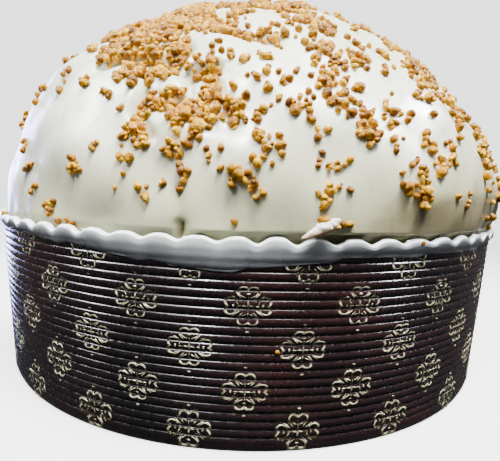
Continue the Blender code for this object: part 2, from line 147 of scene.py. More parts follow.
def crest_radius(z):
    """Radius over the crests of the ribs at height z."""
    return CREST_RADIUS_FOOT + (CREST_RADIUS_RIM - CREST_RADIUS_FOOT) * z / CASE_HEIGHT


def case_radius(azimuth, z):
    """Outer face of the case: the crest's cone less the depth of the groove there. The groove is
    1 - |cos| to a low power, which gives round ribs and sharp valleys. The wall sways a little."""
    phase = (z - FIRST_RIB) / RIB_PITCH
    groove = 1 - np.abs(np.cos(math.pi * phase)) ** RIB_ROUNDNESS
    ribbed = np.clip((z - FIRST_RIB) / RIB_PITCH + 0.5, 0, 1)
    sway = sum(tall * np.sin(waves * azimuth + start) for waves, tall, start in WALL_SWAY)
    return crest_radius(z) - RIB_DEPTH * groove * ribbed + sway * z / CASE_HEIGHT


def paper_inside(z):
    """Radius of the case's inner face at height z."""
    return crest_radius(z) - RIB_DEPTH - PAPER


def scallop(azimuth):
    """Height of the scalloped edge over its mean: round crests, sharper dips, and a slow change
    of height along the edge."""
    phase = WAVES * (azimuth - WAVE_START) + 0.35 * np.sin(5 * azimuth + 1.0)
    tall = 1 + 0.22 * np.sin(9 * azimuth + 0.5) + 0.12 * np.sin(23 * azimuth)
    return WAVE_HEIGHT * tall * (np.cos(phase) - 0.2 * np.cos(2 * phase))


def make_case():
    """Rows up the ribbed outside, over the edge and down the plain inside."""
    azimuth = around(CASE_COLUMNS)
    top = LIP_TOP - COAT - GAP + PAPER_SCALLOP * scallop(azimuth)
    foot = [turned(azimuth, crest_radius(0) * share, 0.0) for share in FLOOR_RINGS]
    foot.append(turned(azimuth, crest_radius(0) - FOOT_ROUND, FOOT_SOFT))
    foot.append(turned(azimuth, crest_radius(0) - FOOT_SOFT, 2 * FOOT_ROUND))
    low = FIRST_RIB - RIB_PITCH / 2
    high = FIRST_RIB + (RIB_COUNT - 0.7) * RIB_PITCH
    ribs = [turned(azimuth, case_radius(azimuth, z), z)
            for z in np.arange(low, high, RIB_PITCH / ROWS_PER_RIB)]
    edge = [turned(azimuth, crest_radius(CASE_HEIGHT) - RIB_DEPTH / 2, top),
            turned(azimuth, paper_inside(CASE_HEIGHT), top)]
    inside = [turned(azimuth, paper_inside(z), z) for z in (high, CASE_HEIGHT / 2, PAPER)]
    return add_turned_solid("paper_cup", np.stack(foot + ribs + edge + inside), (0.0, PAPER))


def node_finish(name, roughness, colour=None):
    """A node material with its shader, and functions to add and join its nodes."""
    material = bpy.data.materials.new(name)
    material.use_nodes = True
    tree = material.node_tree
    shader = tree.nodes["Principled BSDF"]
    shader.inputs["Roughness"].default_value = roughness
    if colour:
        shader.inputs["Base Color"].default_value = (*colour, 1)

    def add(kind, **settings):
        node = tree.nodes.new("ShaderNode" + kind)
        for key, value in settings.items():
            if key in node.inputs:
                node.inputs[key].default_value = value
            else:
                setattr(node, key, value)
        return node

    def join(source, target):
        tree.links.new(source, target)

    return material, shader, add, join


def ramp(add, stops):
    """Colour ramp with (place, colour) stops."""
    node = add("ValToRGB")
    elements = node.color_ramp.elements
    while len(elements) < len(stops):
        elements.new(0.5)
    for element, (place, colour) in zip(elements, stops):
        element.position = place
        element.color = (*colour, 1)
    return node


def noise(add, join, scale, detail):
    """Noise on Object coordinates; scale is in features for each metre."""
    node = add("TexNoise", Scale=scale, Detail=detail)
    join(add("TexCoord").outputs["Object"], node.inputs["Vector"])
    return node


def coloured(add, join, shader, source, stops):
    """Base colour from a ramp over the source."""
    colours = ramp(add, stops)
    join(source, colours.inputs["Fac"])
    join(colours.outputs["Color"], shader.inputs["Base Color"])


def uneven_gloss(add, join, shader, scale, noise_range, roughness_range):
    """Roughness that runs over its range as a noise runs over its own."""
    specks = noise(add, join, scale, 3)
    gloss = add("MapRange")
    for end, value in zip(("From Min", "From Max", "To Min", "To Max"), noise_range + roughness_range):
        gloss.inputs[end].default_value = value
    join(specks.outputs["Fac"], gloss.inputs["Value"])
    join(gloss.outputs["Result"], shader.inputs["Roughness"])


def grained(add, join, shader, scale, detail, strength, depth):
    """Fine relief: a noise as a bump of that depth."""
    grain = noise(add, join, scale, detail)
    bump = add("Bump", Strength=strength, Distance=depth)
    join(grain.outputs["Fac"], bump.inputs["Height"])
    join(bump.outputs["Normal"], shader.inputs["Normal"])


def paper_finish():
    """Dark brown paper with a glossy face that is uneven in gloss, worn matt in specks, and tinted
    redder in places."""
    material, shader, add, join = node_finish("fluted brown paper", 0.3)
    tone = noise(add, join, 22, 5)
    coloured(add, join, shader, tone.outputs["Fac"], [
        (0.35, (0.0060, 0.0045, 0.0052)), (0.55, (0.0130, 0.0065, 0.0072)),
        (0.72, (0.030, 0.0080, 0.0090))])
    uneven_gloss(add, join, shader, 900, (0.35, 0.7), (0.14, 0.32))
    grained(add, join, shader, 1400, 2, 0.1, 0.12 * MM)
    shader.inputs["Specular IOR Level"].default_value = 0.45
    return material


paper_cup = make_case()
paper_cup.data.materials.append(paper_finish())
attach(paper_cup, "root")
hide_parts("paper_case")


# Gold ornaments
# A small four-petalled ornament is printed on the paper in pale gold, in five staggered rows,
# with a dot over and under each. The ink lies on the flutes as a film, made here as thin strips.

ORNAMENTS_ROUND = 22
ORNAMENT_ROWS = (6.2 * MM, 18.3 * MM, 30.4 * MM, 42.5 * MM, 54.6 * MM)
ORNAMENT_TURN = math.radians(0.5)
FOIL_PROUD = 0.055 * MM
FOIL_SUNK = 0.05 * MM

# Strokes of one ornament, in mm from its middle, for the quarter that points up: the left half
# of the heart, the heart's half widths, then strokes as start, end, points and half width. No
# stroke is narrower than a hair to each side.
HEART_HALF = np.array([[(-0.4, 2.2), (-0.9, 2.5), (-2.15, 2.9), (-2.25, 4.0)],
                       [(-2.25, 4.0), (-2.3, 5.3), (-0.6, 5.6), (0, 4.5)]])
HEART_THIN, HEART_THICK = 0.14, 0.56
THICK_FROM, THICK_OVER = 3.2, 1.5
PETAL_DOT = ((0, 3.35), 0.42)
VEIN = ((0, 1.6), (0, 2.6), 4, 0.16)
RAYS = (((1.15, 1.7), (2.75, 3.7), 5, 0.38), ((1.7, 1.15), (3.7, 2.75), 5, 0.38))
CROSS_ARM = ((0.0, 0.1), (0.0, 1.6), 4, 0.4)
HAIR = 0.03
ORNAMENT_STRETCH = 1.17
DOT_OFF = 7.1
DOT_RADIUS = 0.48
DOTS_BETWEEN = (2 * MM, 56 * MM)


def bezier(points, count):
    """Points along a cubic Bezier curve through its four control points."""
    t = np.linspace(0, 1, count)[:, None]
    a, b, c, d = points
    return a * (1 - t) ** 3 + 3 * b * t * (1 - t) ** 2 + 3 * c * t * t * (1 - t) + d * t ** 3


def line(start, end, count, width):
    """Straight stroke that tapers to both ends, as centre points and half widths in mm."""
    t = np.linspace(0, 1, count)
    path = np.array(start) + t[:, None] * (np.array(end) - np.array(start))
    return path, width * np.sqrt(np.clip(4 * t * (1 - t), 0, 1))


def dot(centre, radius):
    """Round dot as a short, wide stroke."""
    turn = np.linspace(0, math.pi, 7)
    path = np.array(centre) + np.stack([-radius * np.cos(turn), 0 * turn], -1)
    return path, radius * np.sin(turn)


def quarter_turned(stroke, quarters, stretch=1.0):
    """The stroke turned by quarter turns about the ornament's middle, then stretched in width."""
    path, width = stroke
    cosine, sine = ((1, 0), (0, 1), (-1, 0), (0, -1))[quarters]
    return path @ np.array([[cosine, sine], [-sine, cosine]]) * (stretch, 1), width


def ornament_strokes():
    """Strokes of one ornament: four heart petals, thick at their tops and open towards the middle,
    with a dot and a vein in each, pairs of rays between them, and a small cross in the middle."""
    left = np.concatenate([bezier(HEART_HALF[0], 9)[:-1], bezier(HEART_HALF[1], 10)])
    right = left[::-1] * (-1, 1)
    heart = np.concatenate([left, right[1:]])
    swell = np.clip((heart[:, 1] - THICK_FROM) / THICK_OVER, 0, 1)
    thick = HEART_THIN + (HEART_THICK - HEART_THIN) * swell
    thick[[0, -1]] = 0
    strokes = []
    for quarter in range(4):
        strokes.append(quarter_turned((heart, thick), quarter, ORNAMENT_STRETCH))
        strokes.append(quarter_turned(dot(*PETAL_DOT), quarter, ORNAMENT_STRETCH))
        for stroke in (VEIN, *RAYS):
            strokes.append(quarter_turned(line(*stroke), quarter, ORNAMENT_STRETCH))
        strokes.append(quarter_turned(line(*CROSS_ARM), quarter))
    return strokes


def strips_on_case(strokes, places):
    """Points, quads and end triangles of strips of three edges: two sunk in the paper and one
    proud of it, along each stroke, at each (azimuth, height) place on the case. Also how near
    each point is to a flute's crest, from 0 to 1."""
    flat, lift, quads, ends, start = [], [], [], [], 0
    for path, width in strokes:
        ahead = np.gradient(path, axis=0)
        side = np.stack([-ahead[:, 1], ahead[:, 0]], -1)
        side /= np.maximum(np.linalg.norm(side, axis=1, keepdims=True), 1e-9)
        width = np.maximum(width, HAIR)
        count = len(path)
        flat.append(np.stack([path - side * width[:, None], path, path + side * width[:, None]], 1))
        lift.append(np.tile([-FOIL_SUNK, FOIL_PROUD, -FOIL_SUNK], (count, 1)))
        step = start + 3 * np.arange(count - 1)[:, None] + np.arange(3)
        turn = start + 3 * np.arange(count - 1)[:, None] + (np.arange(3) + 1) % 3
        quads.append(np.stack([step, step + 3, turn + 3, turn], -1).reshape(-1, 4))
        last = start + 3 * (count - 1)
        ends.append([(start, start + 1, start + 2), (last + 2, last + 1, last)])
        start += 3 * count
    flat = np.concatenate(flat).reshape(-1, 2) * MM
    lift = np.concatenate(lift).ravel()
    quads = np.concatenate(quads)
    places = np.array(places)
    z = places[:, 1:] + flat[:, 1]
    azimuth = places[:, :1] + flat[:, 0] / crest_radius(z)
    points = turned(azimuth, case_radius(azimuth, z) + lift, z)
    copies = np.arange(len(places))[:, None, None] * len(flat)
    ends = np.concatenate(ends)
    crest = np.abs(np.cos(math.pi * (z - FIRST_RIB) / RIB_PITCH)) ** 1.5
    return (points.reshape(-1, 3), (quads[None] + copies).reshape(-1, 4),
            (ends[None] + copies).reshape(-1, 3), crest.ravel())


def make_ornaments():
    """All the ornaments and their dots, row by row, every other row turned by half a step."""
    spin = ORNAMENT_TURN + np.arange(ORNAMENTS_ROUND) * 2 * math.pi / ORNAMENTS_ROUND
    petals, dots = [], []
    for row, z in enumerate(ORNAMENT_ROWS):
        for azimuth in spin + (row % 2 == 0) * math.pi / ORNAMENTS_ROUND:
            petals.append((azimuth, z))
            above, below = z + DOT_OFF * MM, z - DOT_OFF * MM
            dots += [(azimuth, level) for level in (above, below)
                     if DOTS_BETWEEN[0] < level < DOTS_BETWEEN[1]]
    points, quads, ends, crest = strips_on_case(ornament_strokes(), petals)
    more, more_quads, more_ends, more_crest = strips_on_case([dot((0, 0), DOT_RADIUS)], dots)
    piece = add_piece("gold_ornaments", np.concatenate([points, more]),
                      np.concatenate([quads, more_quads + len(points)]),
                      np.concatenate([ends, more_ends + len(points)]))
    set_values(piece, "crest", np.concatenate([crest, more_crest]))
    return piece


def multiplied(add, join, shader, colours, shades):
    """Base colour from one ramp times another."""
    mix = add("MixRGB", blend_type="MULTIPLY", Fac=1.0)
    join(colours.outputs["Color"], mix.inputs["Color1"])
    join(shades.outputs["Color"], mix.inputs["Color2"])
    join(mix.outputs["Color"], shader.inputs["Base Color"])


def gold_finish():
    """Pale gold ink: metallic, a little rough, rubbed thin in specks; painted shade in the grooves."""
    material, shader, add, join = node_finish("pale gold ink", 0.3)
    wear = noise(add, join, 700, 3)
    colours = ramp(add, [(0.3, (0.42, 0.40, 0.20)), (0.55, (0.86, 0.85, 0.55)),
                         (0.8, (1.0, 1.0, 0.78))])
    join(wear.outputs["Fac"], colours.inputs["Fac"])
    # Painted shade: the ink darkens from the flutes' crests down into their grooves.
    height = add("Attribute", attribute_name="crest")
    painted_groove_shade = ramp(add, [(0.3, (0.09, 0.08, 0.06)), (0.6, (0.55, 0.55, 0.5)), (0.85, (1, 1, 1))])
    join(height.outputs["Fac"], painted_groove_shade.inputs["Fac"])
    multiplied(add, join, shader, colours, painted_groove_shade)
    shader.inputs["Metallic"].default_value = 0.35
    return material


gold_ornaments = make_ornaments()
gold_ornaments.data.materials.append(gold_finish())
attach(gold_ornaments, "root")


# Bread
# The loaf is a rich dough of flour, butter and eggs, baked in the case until its dome is brown.
# It is hidden under the icing, and keeps its plain solid with a baked crust.

def crust_finish():
    """Golden to dark brown crust, matt, with fine blisters."""
    material, shader, add, join = node_finish("baked crust", 0.75)
    browning = noise(add, join, 45, 5)
    coloured(add, join, shader, browning.outputs["Fac"], [
        (0.3, (0.16, 0.06, 0.018)), (0.55, (0.33, 0.14, 0.04)), (0.75, (0.52, 0.27, 0.09))])
    grained(add, join, shader, 500, 3, 0.5, 0.4 * MM)
    return material


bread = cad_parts["cake"]
bread.data.materials.clear()
bread.data.materials.append(crust_finish())


# Icing
# White chocolate icing, poured warm over the baked dome and set. It follows the pillows and pleats
# of the crust, is thinner in the pleats, and carries soft runs down its sides.

# Profile of the dome: elevation in degrees, then its mean reach from the middle of the rim and
# how much further it reaches on the right, in mm
DOME = np.array([
    (0.0, 109.7, 3.0),
    (15.0, 108.7, 2.5),
    (30.0, 105.3, -1.0),
    (45.0, 99.5, 0.8),
    (60.0, 95.2, 0.6),
    (75.0, 92.4, 0.0),
    (90.0, 91.0, 0.0),
])
DOME_CENTRE = CASE_HEIGHT
ICING = 3.6 * MM
THROAT_TOP = 61.7 * MM
THROAT_FLARE = 5.0
ICING_FOOT = 57.0 * MM
THROAT = (CREST_RADIUS_RIM - CREST_RADIUS_FOOT) * ICING_FOOT / CASE_HEIGHT + CREST_RADIUS_FOOT \
    - RIB_DEPTH - PAPER - 2 * GAP
SKIN_COLUMNS = 420
SKIN_ROWS = 205
INSIDE_STEP = 12
FRONT_CROWDING = 0.45
ROW_CROWDING = 1.2

# Pleats, as (points in azimuth and elevation, depth, half width), in degrees and mm
PLEATS = (
    (((-33, 31), (-28, 40), (-21.5, 44.5), (-10, 41.5), (-2, 35), (4, 33.5)), 1.3, 3.6),
    (((-30, 26.5), (-25.4, 28.5), (-18.5, 27.6), (-13.8, 26.2), (-10, 24.3), (-6, 25.5)), 1.6, 2.8),
    (((-16.7, 36.4), (-13.3, 32.1), (-11.5, 29.7), (-14, 27)), 1.2, 2.6),
    (((-10.6, 23.8), (-9.9, 20.8), (-11.2, 18.8), (-14, 18.5)), 1.3, 2.0),
    (((-18.7, 25.5), (-17.9, 21.6), (-18.1, 17.5)), 2.6, 1.7),
    (((-16.5, 20.8), (-12.5, 20.2)), 0.4, 2.0),
    (((-17.8, 18.3), (-16, 15.6), (-14.9, 13.9)), 0.9, 2.4),
    (((-7, 22.5), (-7, 18.6), (-5.9, 16)), 1.0, 2.2),
    (((-5.2, 23.0), (-4.2, 19.5), (-2.8, 16)), 1.0, 2.2),
    (((-27, 60), (-2, 52.4), (14, 49.2), (22, 46)), 0.8, 4.0),
    (((-9.2, 0.2), (-9.2, 1.7)), 3.0, 1.0),
    (((-9.2, 0.6), (-9.5, 6.5)), 0.6, 1.8),
)
DEEPEST = 3.0
# The pleats and the handfuls of crumbs come again on these turns round the back, in degrees
TURNS = (0, 128, 236)

# Pillows, as azimuth and elevation in degrees, height and radius in mm
PILLOWS = (
    (-13.6, 23.0, 1.3, 8), (-1.0, 23.5, 1.2, 17), (-8.0, 30.5, 1.2, 10), (-22.0, 34.0, 1.2, 12),
    (-28.0, 17.0, 1.4, 30), (-13.0, 15.0, 0.8, 9), (8.0, 12.0, 1.2, 26), (34.0, 24.0, 1.3, 30),
)
# Waves over the dome, as axis, count, height in mm and phase: slow swells and fine ripples
SWELLS = (((1.0, 0.3, 0.5), 5.0, 0.45, 0.6), ((-0.4, 1.0, 0.7), 7.0, 0.35, 2.1),
          ((0.6, -0.5, 1.0), 9.0, 0.25, 4.0))
RIPPLES = (((1.0, 0.2, 1.6), 15.0, 0.34, 0.3), ((-0.7, 1.0, 0.9), 24.0, 0.2, 1.9),
           ((0.9, 0.8, -1.1), 40.0, 0.09, 4.4))
# A pleat's sharp crease, as shares of its depth and half width
CREASE_SHARE = 0.8
CREASE_WIDTH = 0.42
# Wrinkles low on the dome, their height in mm and how high they reach in degrees
WRINKLE = 0.16
WRINKLE_BAND = 11.0
# Where the dome is tucked in low on the right: azimuth and spread in radians, height in degrees
TUCK = 3.4 * MM
TUCK_AT, TUCK_SPREAD = 0.95, 0.55
TUCK_BAND = 9.0
# The fold over the rim: how far its level drifts, how far it lies under the throat, its round
PULL_IN = 0.25 * MM
PULL_FROM = 0.3 * MM
FOLD_ROUND = 0.3 * MM


def unit(azimuth, elevation):
    """Direction from the middle of the rim: azimuth from -Y towards +X, elevation upwards."""
    azimuth, elevation = np.broadcast_arrays(azimuth, elevation)
    return np.stack([np.cos(elevation) * np.sin(azimuth),
                     -np.cos(elevation) * np.cos(azimuth), np.sin(elevation)], -1)


def smooth_through(x, knots, values):
    """Smooth curve through the knots: cubic pieces whose slope at a knot is that of its chord."""
    slope = np.gradient(values, knots)
    slope[-1] = 0.0
    i = np.clip(np.searchsorted(knots, x) - 1, 0, len(knots) - 2)
    width = knots[i + 1] - knots[i]
    t = (x - knots[i]) / width
    start = values[i] * (1 + 2 * t) * (1 - t) ** 2 + slope[i] * width * t * (1 - t) ** 2
    end = values[i + 1] * t * t * (3 - 2 * t) + slope[i + 1] * width * t * t * (t - 1)
    return start + end


def smooth_reach(azimuth, elevation):
    """Distance from the middle of the rim to the dome, before its pleats and pillows."""
    degrees = np.degrees(elevation)
    mean = smooth_through(degrees, DOME[:, 0], DOME[:, 1])
    lean = smooth_through(degrees, DOME[:, 0], DOME[:, 2])
    return (mean + lean * np.sin(azimuth)) * MM


def pleat_points():
    """Each pleat of each turn as its unit points, depth and half width."""
    for turn in TURNS:
        for points, depth, width in PLEATS:
            angles = np.radians(np.array(points, float) + (turn, 0))
            yield unit(angles[:, 0], angles[:, 1]), depth, width


def waves_over(direction, waves):
    """Sum of sine waves, each across its own direction."""
    return sum(tall * np.sin(count * (direction @ np.array(axis)) + phase)
               for axis, count, tall, phase in waves)


def pleat_depth(direction):
    """How deep the pleats are at each direction, in mm: a bell across the nearest point of each."""
    reach = DOME[2, 1]
    depth_here = np.zeros(direction.shape[:-1])
    for points, depth, width in pleat_points():
        nearest = np.full(direction.shape[:-1], np.inf)
        for a, b in zip(points[:-1], points[1:]):
            along = np.clip((direction - a) @ (b - a) / ((b - a) @ (b - a)), 0, 1)
            foot = a + along[..., None] * (b - a)
            nearest = np.minimum(nearest, np.linalg.norm(direction - foot, axis=-1))
        depth_here += depth * np.exp(-(nearest * reach / width) ** 2)
        depth_here += CREASE_SHARE * depth * np.exp(-(nearest * reach / (CREASE_WIDTH * width)) ** 2)
    return depth_here


def relief(direction):
    """Height of the icing over the plain dome: pillows and swells up, pleats down."""
    reach = DOME[2, 1]
    height = waves_over(direction, SWELLS)
    for azimuth, elevation, tall, radius in PILLOWS:
        middle = unit(np.radians(azimuth), np.radians(elevation))
        away = np.linalg.norm(direction - middle, axis=-1) * reach / radius
        height = height + tall * np.clip(1 - away ** 2, 0, 1) ** 1.5
    return np.maximum(height - pleat_depth(direction), -DEEPEST) * MM


def dome(azimuth, elevation, inset=0.0, with_relief=True):
    """Points of the dome: tucked in low on the right, wrinkled low down, and drawn in over the rim
    to clear the coat there, where the radius is the smooth least of the dome's and a cone's."""
    direction = unit(azimuth, elevation)
    reach = smooth_reach(azimuth, elevation) - inset
    low = np.clip(1 - np.degrees(elevation) / TUCK_BAND, 0, 1) ** 2
    reach = reach - TUCK * low * np.exp(-((azimuth - TUCK_AT) / TUCK_SPREAD) ** 2)
    if with_relief:
        low = np.exp(-(np.degrees(elevation) / WRINKLE_BAND) ** 2)
        wrinkles = WRINKLE * low * (np.sin(31 * azimuth + 2.4 * np.sin(7 * azimuth) + 9 * elevation)
                                    + 0.6 * np.sin(53 * azimuth - 14 * elevation))
        reach = reach + relief(direction) + (waves_over(direction, RIPPLES) + wrinkles) * MM
    point = direction * reach[..., None] + (0, 0, DOME_CENTRE)
    drift = 0.5 + 0.3 * np.sin(9 * azimuth) + 0.2 * np.sin(23 * azimuth + 1)
    fold = THROAT_TOP - PULL_FROM + PULL_IN * drift
    widest = THROAT - inset + THROAT_FLARE * np.maximum(point[..., 2] - fold, 0)
    radius = np.maximum(np.hypot(point[..., 0], point[..., 1]), MM)
    drawn_in = -FOLD_ROUND * np.logaddexp(-radius / FOLD_ROUND, -widest / FOLD_ROUND)
    point[..., :2] *= (np.maximum(drawn_in, 0) / radius)[..., None]
    return point


def make_skin():
    """Shell of icing: its rows go down the plain inside from the crown, round the foot and up the
    outside. The columns stand closer together at the front, where the pleats are."""
    turn = np.arange(SKIN_COLUMNS) * 2 * math.pi / SKIN_COLUMNS
    azimuth = turn - FRONT_CROWDING * np.sin(turn)
    lowest = math.asin((THROAT_TOP - DOME_CENTRE) / THROAT)
    rise = np.linspace(0, 1, SKIN_ROWS, endpoint=False) ** ROW_CROWDING
    elevation = lowest + (math.pi / 2 - lowest) * rise
    inner = dome(azimuth[None], elevation[::-INSIDE_STEP, None], ICING, with_relief=False)
    foot = [turned(azimuth, THROAT - ICING, ICING_FOOT), turned(azimuth, THROAT, ICING_FOOT),
            turned(azimuth, THROAT, (ICING_FOOT + THROAT_TOP) / 2)]
    outer = dome(azimuth[None], elevation[:, None])
    crown = [dome(0.0, math.pi / 2, ICING, with_relief=False)[2], dome(0.0, math.pi / 2)[2]]
    return add_turned_solid("poured_icing", np.concatenate([inner, foot, outer]), crown)


def icing_finish(name, full, thin, under):
    """White chocolate icing: soft gloss with light sinking in a little, fine dimples, and a slow
    drift of tone. As the attribute rises, it darkens towards the colour under it, where the icing
    is thin and, on the dome and the rim, also as painted shade."""
    material, shader, add, join = node_finish(name, 0.3)
    thinness = add("Attribute", attribute_name="thin")
    cover = ramp(add, [(0.0, full), (0.55, thin), (1.0, under)])
    join(thinness.outputs["Fac"], cover.inputs["Fac"])
    drift = noise(add, join, 26, 4)
    tones = ramp(add, [(0.3, (0.90, 0.90, 0.83)), (0.62, (1, 1, 1))])
    join(drift.outputs["Fac"], tones.inputs["Fac"])
    multiplied(add, join, shader, cover, tones)
    shader.inputs["Subsurface Weight"].default_value = 0.18
    shader.inputs["Subsurface Radius"].default_value = (1.0, 0.85, 0.6)
    shader.inputs["Subsurface Scale"].default_value = 2.0 * MM
    uneven_gloss(add, join, shader, 160, (0.3, 0.7), (0.22, 0.4))
    grained(add, join, shader, 230, 2, 0.35, 0.35 * MM)
    return material


# Where the icing is darkened, by thin icing and by painted shade: low down (height in degrees,
# share of thin icing and painted shade, and painted shade added on the right), in pleats (share
# for each mm, of thinner icing and painted crease shade), at the rim (painted contact shade:
# height, share), and under the dome's tuck on the right (painted shade: top and blur in degrees,
# from and over how far to the right, share)
LOW_BAND, LOW_THIN_AND_SHADE, RIGHT_SHADE = 11.0, 0.5, 0.3
PLEAT_THIN_AND_SHADE = 0.08
RIM_CONTACT_SHADE_BAND, RIM_CONTACT_SHADE_SHARE = 2.6 * MM, 0.3
TUCK_SHADE_TOP, TUCK_SHADE_BLUR = 6.0, 2.2
TUCK_SHADE_FROM, TUCK_SHADE_OVER, TUCK_SHADE_SHARE = 0.25, 0.4, 0.75
THIN_AND_SHADE_CAP = 0.8
# Depths in mm at which a pleat starts to bare the crust and is bare, and what that adds
THIN_PLEAT, BARE_PLEAT, BARE_SHARE = 3.2, 4.4, 0.6


def icing_thinness_and_shade(piece):
    """How dark the icing is made at each vertex, from 0 to 1, by thin icing and painted shade: low
    down over the rim, with painted shade most so on the right, thinner icing and painted crease
    shade a little in the pleats, painted contact shade just over the rim, painted shade under the
    tuck on the right, and down to the crust in the deepest pleat."""
    points = np.empty(3 * len(piece.data.vertices), np.float32)
    piece.data.vertices.foreach_get("co", points)
    direction = points.reshape(-1, 3) - (0, 0, DOME_CENTRE)
    direction /= np.linalg.norm(direction, axis=1, keepdims=True)
    elevation = np.degrees(np.arcsin(direction[:, 2]))
    low = np.exp(-(elevation / LOW_BAND) ** 2)
    depth = pleat_depth(direction)
    bare = np.clip((depth - THIN_PLEAT) / (BARE_PLEAT - THIN_PLEAT), 0, 1)
    azimuth = np.arctan2(direction[:, 0], -direction[:, 1])
    # Painted contact shade just over the rim's coat.
    edge = np.clip(1 - (points[2::3] - LIP_TOP) / RIM_CONTACT_SHADE_BAND, 0, 1)
    edge *= 0.8 + 0.2 * np.sin(7 * azimuth + 0.7)
    # Painted shade under the dome's tuck on the right.
    tuck_shade = 0.5 - 0.5 * np.tanh((elevation - TUCK_SHADE_TOP) / TUCK_SHADE_BLUR)
    tuck_shade *= np.clip((direction[:, 0] - TUCK_SHADE_FROM) / TUCK_SHADE_OVER, 0, 1)
    # Thin icing low down, with painted shade added towards the right, and thinner icing with painted
    # crease shade in the pleats.
    thin = low * (LOW_THIN_AND_SHADE + RIGHT_SHADE * direction[:, 0]) + PLEAT_THIN_AND_SHADE * depth
    thin += RIM_CONTACT_SHADE_SHARE * edge + TUCK_SHADE_SHARE * tuck_shade
    return np.clip(np.minimum(thin, THIN_AND_SHADE_CAP) + BARE_SHARE * bare, 0, 1)


poured_icing = make_skin()
# The attribute holds where the icing is thin and where shade is painted on it.
set_values(poured_icing, "thin", icing_thinness_and_shade(poured_icing))
poured_icing.data.materials.append(icing_finish(
    "white chocolate icing", (0.86, 0.88, 0.74), (0.53, 0.53, 0.32), (0.13, 0.065, 0.025)))
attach(poured_icing, "root")
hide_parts("icing")
poured_icing.cycles.shadow_terminator_geometry_offset = 0.4


# Icing flake
# A flake of icing, torn off with a little crust on its underside, leans over the rim in front.

# Azimuth and elevation in degrees, half sizes, tilt, and how far out it stands
FLAKE_AT = (9.3, 1.7)
FLAKE_SIZE = (4.9 * MM, 1.6 * MM, 2.0 * MM)
FLAKE_TILT = math.radians(26.0)
FLAKE_OUT = 1.4 * MM
FLAKE_COLUMNS, FLAKE_ROWS, FLAKE_END = 60, 26, 1.45
FLAKE_TAPER = 0.3
# Tears in its edge, as waves round it, lean, share of its size and phase
FLAKE_TEARS = ((5, 0, 0.13, 1), (9, 3, 0.08, 0), (15, -4, 0.06, 0))
# Its crust shows where the icing thins out downwards, and a little towards its low end
CRUST_LEVEL, CRUST_RISE, CRUST_LEAN = 0.5, 1.2, 0.3


def make_flake():
    """A ball's rows of points, stretched to the flake's size and torn in and out by sines; then
    tilted one end down, swung round to its azimuth, and set on the dome."""
    turn = np.arange(FLAKE_COLUMNS) * 2 * math.pi / FLAKE_COLUMNS
    rise = np.linspace(-FLAKE_END, FLAKE_END, FLAKE_ROWS)[:, None]
    torn = 1 + sum(share * np.sin(waves * turn + lean * rise + phase)
                   for waves, lean, share, phase in FLAKE_TEARS)
    ball = np.stack([np.cos(rise) * np.cos(turn) * torn, np.cos(rise) * np.sin(turn) * torn,
                     np.sin(rise) + 0.1 * np.sin(7 * turn)], -1)
    ball[..., 1:] *= 1 - FLAKE_TAPER + FLAKE_TAPER * ball[..., :1]
    piece = add_turned_solid("icing_flake", ball * FLAKE_SIZE, (-FLAKE_SIZE[2], FLAKE_SIZE[2]))
    heights = np.append((ball[..., 2] + CRUST_LEAN * ball[..., 0]).ravel(), (-1, 1))
    set_values(piece, "thin", np.clip(CRUST_LEVEL - CRUST_RISE * heights, 0, 1))
    azimuth, elevation = np.radians(FLAKE_AT)
    place = Matrix.Translation(dome(azimuth, elevation) + FLAKE_OUT * unit(azimuth, 0.0))
    piece.data.transform(place @ Matrix.Rotation(azimuth, 4, "Z") @ Matrix.Rotation(-FLAKE_TILT, 4, "Y"))
    return piece


icing_flake = make_flake()
icing_flake.data.materials.append(icing_finish(
    "torn icing", (0.84, 0.83, 0.86), (0.66, 0.54, 0.36), (0.42, 0.28, 0.14)))
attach(icing_flake, "root")


# Nut crumbs
# Chopped hazelnuts, caramelised and rolled into little nuggets, were thrown on the wet icing. They
# gather in the pleats, and each sinks in by about half.

# Handfuls of nut crumbs that gathered in and round the pleats: azimuth and elevation in degrees,
# half length and half width in mm, the length's lean from level in degrees, how many
HANDFULS = (
    (-28, 43, 25, 13, 0, 520), (-26, 33.5, 15, 5.5, 5, 150), (-1, 35.2, 13, 2.8, 0, 40),
    (-31.5, 35.5, 4, 3, 0, 10), (-22, 29.4, 13, 3, 5, 60), (-14, 30.5, 8, 3.2, 90, 40),
    (-20, 24.8, 8, 3.2, 10, 38), (-15.8, 24.8, 3.4, 4.5, 0, 18), (-13.5, 19.6, 6.5, 3.2, 0, 38),
    (-17.2, 17, 7, 2.2, 100, 28), (-10.8, 17, 3, 3.8, 0, 18), (-6.6, 21, 10, 2.6, 90, 60),
    (-2.7, 18, 4.4, 2.4, 80, 18), (-12, 39, 11, 5, 0, 90), (-24, 53, 9, 9, 0, 60),
    (4, 50.5, 18, 6, 0, 150), (14, 54, 6, 8, 90, 50), (13, 28, 10, 6, 90, 34),
    (38, 31, 10, 5, 0, 34), (47, 14, 7, 5, 0, 22), (15, 41, 8, 7, 90, 44), (-4.5, 44, 4, 3, 90, 16),
    (-9, 26, 5, 3, 0, 14), (36, 25, 8, 5, 0, 20),
)
# Share of the handfuls that fell again on each turn round the back
HANDFUL_SHARES = (1.0, 0.35, 0.4)
